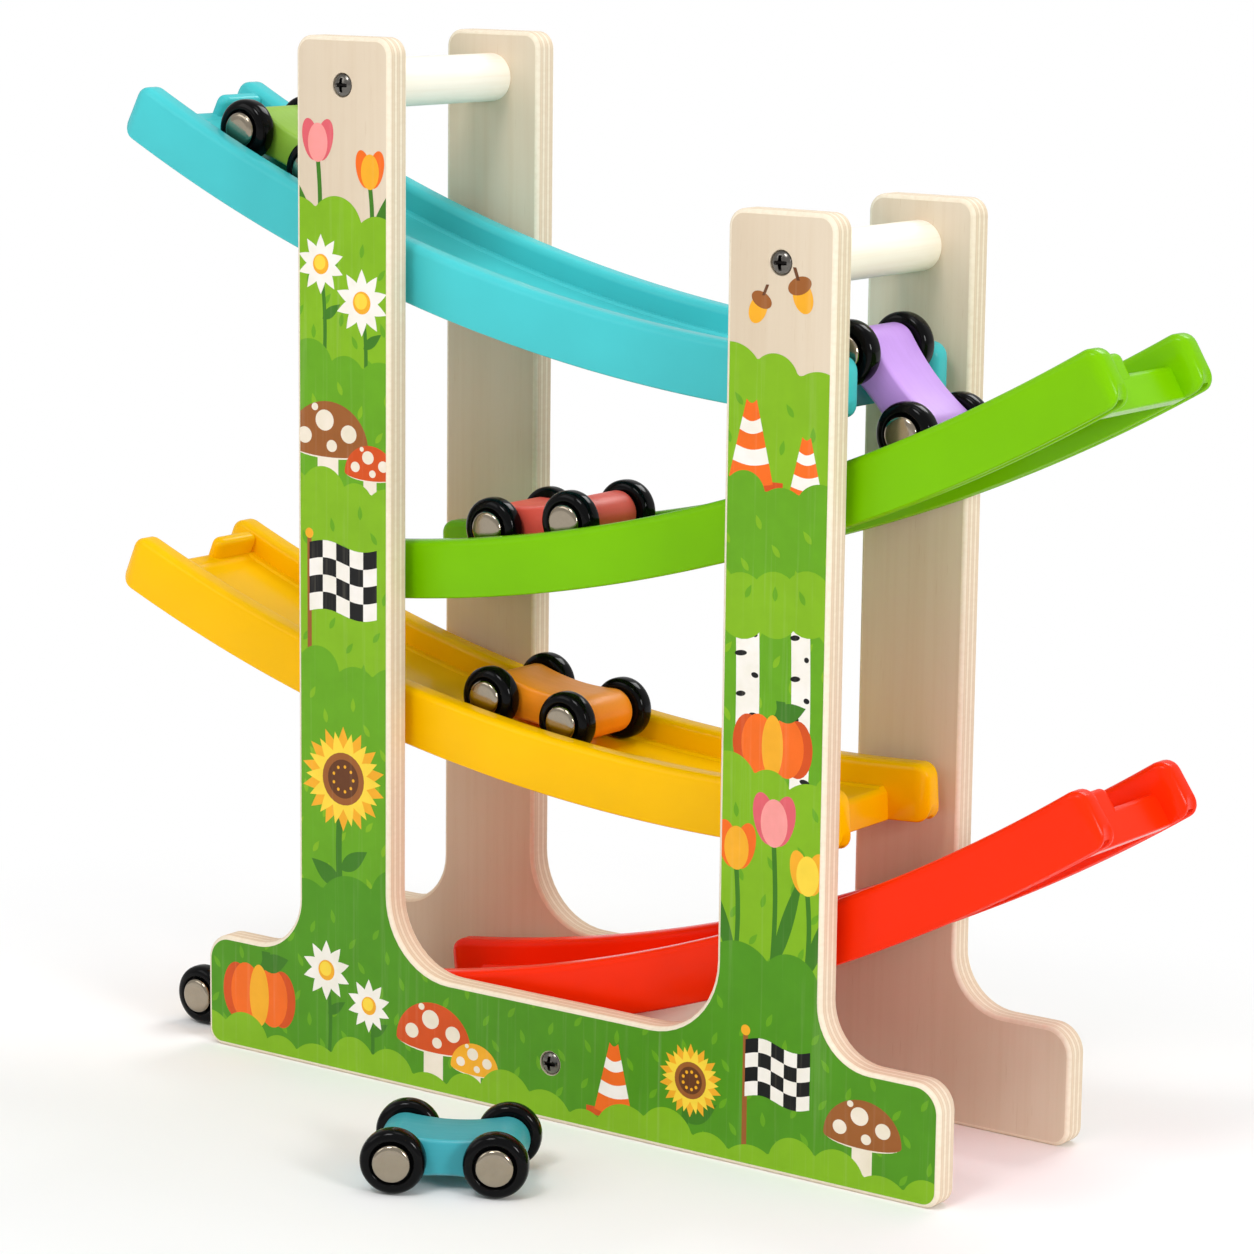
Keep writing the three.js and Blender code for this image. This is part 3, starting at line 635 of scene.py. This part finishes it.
def wall_rings(low, high, inner, outer, corner_along, corner_across, runs):
    """The plan of a long bar with rounded corners, as a core point and a direction for each point of a ring.
    Corners turn by equal angles about the core's corners, and the long sides are divided evenly."""
    turn = np.linspace(0, math.pi / 2, plan_steps)
    run = np.linspace(1, 0, runs + 1)[1:-1]
    start, end = low + corner_along, high - corner_along
    near, far = inner + corner_across, outer - corner_across
    angle = np.concatenate([turn, np.full(len(run), math.pi / 2), turn + math.pi / 2, turn + math.pi,
                            np.full(len(run), 1.5 * math.pi), turn + 1.5 * math.pi])
    count, along = np.ones(plan_steps), start + (end - start) * run
    core_along = np.concatenate([end * count, along, start * count, start * count, along[::-1], end * count])
    half = 2 * plan_steps + len(run)
    core_across = np.concatenate([np.full(half, far), np.full(half, near)])
    return core_along, core_across, np.cos(angle), np.sin(angle)


def moulded_bar(low, high, inner, outer, bottom, top, corner_along, corner_across, runs=72, thickness=0.0):
    """A bar along a ramp whose top edges are rounded by quarter ellipses, wider at the ends than at the
    sides. Rings run from the foot up and over the edges; a thickness hollows it from below by the same shape
    made smaller. The foot's ends then curve up as the top's do, and half an ellipse rounds its rim."""
    swing = np.linspace(0, math.pi / 2, edge_steps)
    rows = []
    for inset in ([thickness, 0.0] if thickness else [0.0]):
        reach_along, reach_across = corner_along - inset, max(corner_across - inset, 0.6)
        core_along, core_across, cosine, sine = wall_rings(
            low + inset, high - inset, inner + inset, outer - inset, reach_along, reach_across, runs)
        out_along, out_across = reach_along * cosine, reach_across * sine
        rise = reach_along * cosine ** 2 + reach_across * sine ** 2
        foot = np.full(len(cosine), bottom)
        if thickness:
            foot += foot_rim + corner_along - np.sqrt(corner_along ** 2 - out_along ** 2)
        levels = [np.stack([core_along + out_along, core_across + out_across, foot], -1)]
        levels += [np.stack([core_along + out_along * math.cos(s), core_across + out_across * math.cos(s),
                             top - inset - rise * (1 - math.sin(s))], -1) for s in swing]
        rows += levels[::-1] if inset else levels
    if thickness:
        foot_row = edge_steps + 1
        within, outside = rows[foot_row - 1], rows[foot_row]
        rows[foot_row:foot_row] = [
            (within + outside + math.cos(s) * (within - outside)) / 2 - (0, 0, foot_rim * math.sin(s))
            for s in np.linspace(0, math.pi, 7)[1:-1]]
    count = len(rows[0])
    faces = grid_faces(len(rows), count, True).tolist()
    far = np.arange(plan_steps - 1, plan_steps + runs)
    near = (far + count // 2)[::-1]
    ridge = np.stack([far[:-1], far[1:], near[1:], near[:-1]], -1)
    faces += (ridge + (len(rows) - 1) * count).tolist()
    faces += ridge.tolist() if thickness else [list(range(count))]
    return np.concatenate(rows), faces


arm_length, floor_edge, floor_thickness, foot_ease = 13.0, 1.8, 2.0, 0.3
lip_start, lip_height, end_inside, end_outside, end_edge = 248.5, 0.6, 252.0, 256.0, 2.0
floor_half_widths = np.array([19.4, 16.9, 16.6, 16.4, 16.2, 15.9])
ledge_height, ledge_slope = 0.55, 0.7


def floor_shell(runs=96):
    """The floor as one closed side view carried across the ramp: up the turned-down end, over its rounded
    edge, along the floor, up to the end lip, down the end wall's outside and back underneath. A low ledge
    stands along both edges, as a smooth step across the width."""
    swing = np.linspace(0, math.pi / 2, 6)
    step = np.linspace(0, 1, 6)
    start, below = arm_length + floor_edge, arm_length + floor_thickness
    along = np.linspace(start, lip_start, runs)
    under = np.linspace(end_inside, below, runs)
    lip_along = lip_start + (end_inside - lip_start) * step
    lip_rise = lip_height * step * step * (3 - 2 * step)
    side = np.concatenate([
        [(below, skirt), (arm_length + foot_ease, skirt), (arm_length, skirt + foot_ease)],
        np.stack([start - floor_edge * np.cos(swing), floor_edge * (np.sin(swing) - 1)], -1),
        np.stack([along, 0 * along], -1)[1:],
        np.stack([lip_along, lip_rise], -1)[1:],
        (end_outside, lip_height) + end_edge * np.stack([np.sin(swing) - 1, np.cos(swing) - 1], -1),
        [(end_outside, skirt + foot_ease), (end_outside - foot_ease, skirt), (end_inside, skirt)],
        np.stack([under, 0 * under - floor_thickness], -1),
    ])
    width = np.concatenate([-floor_half_widths, floor_half_widths[::-1]])
    ledge = ledge_height * np.clip((abs(width) - floor_half_widths[-1]) / ledge_slope, 0, 1)
    on_top = (side[:, 1] > -0.2) & (side[:, 0] > arm_length + 1) & (side[:, 0] < end_inside)
    rows, count = len(width), len(side)
    points = np.stack([np.broadcast_to(side[:, 0], (rows, count)),
                       np.broadcast_to(width[:, None], (rows, count)),
                       side[:, 1] + ledge[:, None] * on_top], -1)
    faces = grid_faces(rows, count, True).tolist()
    faces += [list(range(count)), list(range((rows - 1) * count, rows * count))]
    return points.reshape(-1, 3), faces


peg_profile = [(0, 25.4), (4.5, 25.4), (4.5, 29.7), (3, 29.7), (3, 33.6), (2.6, 34), (0, 34)]
block_inside, block_near, block_far = 251.6, -19.4, -1.6
block_foot, block_top, block_corner, block_edge = -1.2, 6.6, 1.8, 2.8


def moulding(place):
    """All shells of one ramp, bent from along, across and height to its curve: walls, floor, end block and
    the pegs with their shoulders, which are turned about lines across the ramp."""
    rises = place[0]
    wall_form = (skirt, wall_top, wall_corner, wall_edge)
    straight = [
        moulded_bar(0, ramp_length, wall_inner, wall_outer, *wall_form, thickness=shell_thickness),
        moulded_bar(0, ramp_length, -wall_outer, -wall_inner, *wall_form, thickness=shell_thickness),
        floor_shell(),
        moulded_bar(block_inside, end_outside, block_near, block_far, block_foot, block_top, block_corner,
                    block_edge, runs=4),
    ]
    shells = []
    for points, faces in straight:
        bent = on_ramp(place, points[:, 0], points[:, 2])
        across = ramp_middle_y + rises * points[:, 1]
        shells.append((np.stack([bent[:, 0], across, bent[:, 1]], -1), faces, 0))
    for x, z in on_ramp(place, peg_along, peg_height):
        for out in (-1.0, 1.0):
            points, faces = turned(peg_profile, 32, (x, ramp_middle_y, z), (0, out, 0), (1, 0, 0))
            shells.append((points, faces, 0))
    return shells


def shaded(colour, share, white=0.0):
    """A share of a colour's light, and some white added to it."""
    return tuple(share * value + white for value in colour[:3]) + (1.0,)


plastic_colours = {
    "cyan": (74, 196, 201), "green": (119, 188, 0), "yellow": (250, 190, 0), "red": (246, 44, 4),
}
for colour, place in ramp_places.items():
    full = linear(*plastic_colours[colour])
    plastic = Finish(f"{colour}_plastic", IOR=1.5, Specular_IOR_Level=0.11)
    cloud = plastic.noise(plastic.place((22, 22, 22)), 3.0, 0.5)
    skin = plastic.noise(plastic.place((1400, 1400, 1400)), 2.0, 0.5)
    ramp_plastic = plastic.wire(
        Base_Color=plastic.blend(plastic.between(cloud, 0.35, 0.65), shaded(full, 0.92), full),
        Roughness=plastic.between(cloud, 0.3, 0.7, 0.16, 0.26), Normal=plastic.bump(skin, 0.03, 0.0001))
    name = f"{colour}_ramp"
    make_piece(name, moulding(place), [ramp_plastic], "track", name)

# Cars
# Each is a block of wood shaped like a bone from the side, dipped in paint, with two steel axles through it.
# Black glossy plastic wheels sit on the axles under pressed steel caps, and turn with them.
tyre = Finish("wheel_black", Base_Color=linear(6, 6, 7), IOR=1.5, Specular_IOR_Level=0.12)
smear = tyre.noise(tyre.place((260, 260, 260)), 3.0, 0.6)
wheel_black = tyre.wire(Roughness=tyre.between(smear, 0.3, 0.7, 0.06, 0.16))
chrome = Finish("axle_chrome", Metallic=1.0)
scuff = chrome.noise(chrome.place((420, 420, 420)), 4.0, 0.6)
axle_chrome = chrome.wire(Base_Color=chrome.blend(scuff, linear(150, 139, 122), linear(168, 157, 140)),
                          Roughness=chrome.between(scuff, 0.3, 0.7, 0.08, 0.2))
car_colours = {
    "green_car": (146, 190, 62), "red_car": (250, 96, 80), "orange_car": (255, 152, 26),
    "purple_car": (206, 158, 242), "cyan_car": (58, 164, 176), "yellow_car": (244, 200, 52),
}
axle_from_middle, body_end_radius, body_waist = 13.8, 6.3, 5.0
body_half_width, body_eased_edge, bore_radius = 10.0, 1.1, 1.5
worn_from_middle, worn_half_width = 9.6, 0.38
wheel_inner, wheel_radius, wheel_width, hub_face = 10.5, 8.9, 6.0, 5.3
wheel_profile = rounded_profile([
    (bore_radius, 0, 0), (wheel_radius, 0, 2.2), (wheel_radius, wheel_width, 2.6), (6.1, wheel_width, 0.4),
    (5.6, hub_face, 0.3), (bore_radius, hub_face, 0.1), (bore_radius, 0, 0)], 7)
axle_half = [
    (0, 17.62), (3.0, 17.6), (4.25, 17.55), (4.7, 17.4), (5.0, 17.15), (5.2, 16.75), (5.2, 16.55),
    (1.25, 16.55),
]
axle_profile = axle_half + [(radius, -place) for radius, place in axle_half[::-1]]


def bone_outline(half_base, end_radius, waist, steps):
    """The side view of a car: round ends over the axles, joined by shallow arcs that touch both end circles
    and come closest together half way. The arcs' radius follows from the waist by the triangle of the
    centres."""
    hollow = (half_base ** 2 + waist ** 2 - end_radius ** 2) / (2 * (end_radius - waist))
    lift = waist + hollow
    meet = math.atan2(lift, -half_base)
    swing = math.atan2(half_base, lift)
    nose = np.linspace(-meet, meet, steps)
    dip = np.linspace(swing, -swing, steps)[1:-1] - math.pi / 2
    nose_out = np.stack([np.cos(nose), np.sin(nose)], -1)
    dip_out = np.stack([np.cos(dip), np.sin(dip)], -1)
    points = np.concatenate([(half_base, 0) + end_radius * nose_out, (0, lift) + hollow * dip_out,
                             (-half_base, 0) - end_radius * nose_out, (0, -lift) - hollow * dip_out])
    return points, np.concatenate([nose_out, -dip_out, -nose_out, dip_out])


def middle(node):
    """The middle of a node's box, in millimetres."""
    low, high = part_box(node)
    return np.array((low + high) / 2) * 1000


body_outline, body_normals = bone_outline(axle_from_middle, body_end_radius, body_waist, 25)
bore_steps = [(bore_radius, -body_half_width), (bore_radius, body_half_width)]
bores = [((x, 0.0), bore_steps) for x in (-axle_from_middle, axle_from_middle)]
shells = board(body_outline, body_normals, -body_half_width, body_half_width, body_eased_edge, bores)
own = np.concatenate([points for points, _, _ in shells])
wear = np.clip(1 - abs(abs(own[:, 1]) - worn_from_middle) / worn_half_width, 0, 1)
for car, colour in car_colours.items():
    front, rear = middle(f"{car}_front_axle"), middle(f"{car}_rear_axle")
    left = middle(f"{car}_front_left_wheel") - middle(f"{car}_front_right_wheel")
    left /= np.linalg.norm(left)
    ahead = (front - rear) / np.linalg.norm(front - rear)
    turn = np.stack([ahead, left, np.cross(ahead, left)])
    paint = Finish(f"{car}_paint", IOR=1.45, Specular_IOR_Level=0.35)
    grain = paint.noise(paint.place((0.05, 1.1, 1.1), "own_place"), 4.0, 0.6)
    blotch = paint.noise(paint.place((0.09, 0.09, 0.09), "own_place"), 3.0, 0.5)
    worn = paint.add("Attribute", {"attribute_name": "worn_edge"}).outputs["Fac"]
    full = linear(*colour)
    shade = paint.blend(paint.between(blotch, 0.3, 0.7), full, shaded(full, 0.93))
    shade = paint.blend(paint.between(grain, 0.5, 0.8, 0.0, 0.28), shade, shaded(full, 0.8))
    ridges = paint.between(grain, 0.4, 0.6)
    rubbed = paint.add("Math", {"operation": "MULTIPLY"}, _0=worn, _1=ridges).outputs[0]
    shade = paint.blend(paint.between(rubbed, 0.0, 1.0, 0.0, 0.4), shade, shaded(full, 0.55, 0.45))
    car_paint = paint.wire(Base_Color=shade, Roughness=paint.between(grain, 0.3, 0.7, 0.3, 0.42),
                           Normal=paint.bump(grain, 0.08, 0.0002))
    placed = [((points @ turn) + (front + rear) / 2, faces, 0) for points, faces, _ in shells]
    make_piece(f"{car}_body", placed, [car_paint], car, f"{car}_body",
               {"own_place": own, "worn_edge": wear}, crease=40)
    for end, centre in (("front", front), ("rear", rear)):
        body = f"{car}_{end}_wheels"
        name = f"{car}_{end}_axle"
        points, faces = turned(axle_profile, 48, centre, left, ahead)
        make_piece(name, [(points, faces, 0)], [axle_chrome], body, name)
        for side, out in (("left", left), ("right", -left)):
            name = f"{car}_{end}_{side}_wheel"
            points, faces = turned(wheel_profile, 64, centre + wheel_inner * out, out, ahead)
            make_piece(name, [(points, faces, 0)], [wheel_black], body, name, crease=50)

# Studio
# A wide floor of white paper under even light from all round and five soft lamps. Away from the toy the
# paper turns plain white, as the ground of a picture cut out for a shop does.
floor_reach = 30.0
floor_corners = np.array([(-1, -1, 0), (1, -1, 0), (1, 1, 0), (-1, 1, 0)]) * floor_reach
shaded_ground, fade_start, fade_end = (0.13, 0.09, 0), 0.02, 0.2
floor_mesh = bpy.data.meshes.new("studio_floor")
floor_mesh.from_pydata(floor_corners.tolist(), [], [(0, 1, 2, 3)])
floor = bpy.data.objects.new("studio_floor", floor_mesh)
bpy.context.scene.collection.objects.link(floor)
paper = Finish("white_paper", Base_Color=(0.88, 0.88, 0.88, 1.0), Roughness=0.9, Specular_IOR_Level=0.0)
aside = paper.add("VectorMath", {"operation": "ABSOLUTE"}, _0=paper.place((1, 1, 1))).outputs[0]
beyond = paper.add("VectorMath", {"operation": "SUBTRACT"}, _0=aside, _1=shaded_ground).outputs[0]
beyond = paper.add("VectorMath", {"operation": "MAXIMUM"}, _0=beyond, _1=(0, 0, 0)).outputs[0]
away = paper.add("VectorMath", {"operation": "LENGTH"}, _0=beyond).outputs["Value"]
far_off = paper.between(away, fade_start, fade_end)
path = paper.add("LightPath").outputs
seen = path["Is Camera Ray"]
for ray in ("Is Glossy Ray", "Is Transmission Ray"):
    seen = paper.add("Math", {"operation": "MAXIMUM"}, _0=seen, _1=path[ray]).outputs[0]
lit = paper.add("Emission", Color=(1, 1, 1, 1), Strength=1.0)
both = paper.add("Math", {"operation": "MULTIPLY"}, _0=far_off, _1=seen).outputs[0]
mixed = paper.add("MixShader", _0=both, _1=paper.shader.outputs[0], _2=lit.outputs[0])
paper.links.new(mixed.outputs[0], paper.nodes["Material Output"].inputs["Surface"])
floor_mesh.materials.append(paper.material)

world = bpy.data.worlds.new("studio")
world.use_nodes = True
bpy.context.scene.world = world
sky = world.node_tree.nodes["Background"]
sky.inputs["Color"].default_value = (1, 1, 1, 1)
sky.inputs["Strength"].default_value = 0.62
bpy.context.scene.cycles.diffuse_bounces = 12


def soft_lamp(name, place, target, size, power):
    """A square lamp at a place, turned so that it shines at the target."""
    light = bpy.data.lights.new(name, "AREA")
    light.shape = "SQUARE"
    light.size = size
    light.energy = power
    lamp = bpy.data.objects.new(name, light)
    back = np.array(place) - np.array(target)
    back /= np.linalg.norm(back)
    side = np.cross((0, 0, 1), back)
    side /= np.linalg.norm(side)
    stand = np.eye(4)
    stand[:3] = np.stack([side, np.cross(back, side), back, place], -1)
    lamp.matrix_world = Matrix(stand.tolist())
    bpy.context.scene.collection.objects.link(lamp)


soft_lamp("overhead_lamp", (0.25, -0.1, 1.5), (0, 0.03, 0.1), 0.55, 2.0)
soft_lamp("back_lamp", (0.05, 1.05, 1.2), (0, 0.03, 0.12), 0.55, 6.5)
soft_lamp("key_lamp", (1.65, -0.5, 0.75), (0, 0.03, 0.14), 0.42, 13.0)
soft_lamp("front_lamp", (0.1, -1.1, 1.4), (0, 0.03, 0.12), 0.45, 8.0)
soft_lamp("fill_lamp", (-0.8, -1.1, 0.9), (0, 0.03, 0.12), 0.7, 2.5)

# Camera
# A long lens a little above the toy, off its right-hand corner. Its place, turn and focal length, in widths
# of the picture, were fitted to the corners of the front panel in the photograph.
sensor_width, focal_widths = 36.0, 4059.5 / 1254
camera_place = (0.6604, -0.8809, 0.3460)
yaw, pitch, roll = np.radians([35.934, 10.54, -0.658])
camera_data = bpy.data.cameras.new("camera")
camera_data.sensor_width = sensor_width
camera_data.lens = sensor_width * focal_widths
camera_data.clip_start, camera_data.clip_end = 0.05, 100.0
camera = bpy.data.objects.new("camera", camera_data)
ahead = np.array([-math.sin(yaw) * math.cos(pitch), math.cos(yaw) * math.cos(pitch), -math.sin(pitch)])
right = np.array([math.cos(yaw), math.sin(yaw), 0.0])
down = np.cross(ahead, right)
cosine, sine = math.cos(roll), math.sin(roll)
right, down = cosine * right + sine * down, cosine * down - sine * right
stand = np.eye(4)
stand[:3] = np.stack([right, -down, -ahead, camera_place], -1)
camera.matrix_world = Matrix(stand.tolist())
bpy.context.scene.collection.objects.link(camera)
bpy.context.scene.camera = camera
bpy.context.scene.view_settings.view_transform = "Standard"
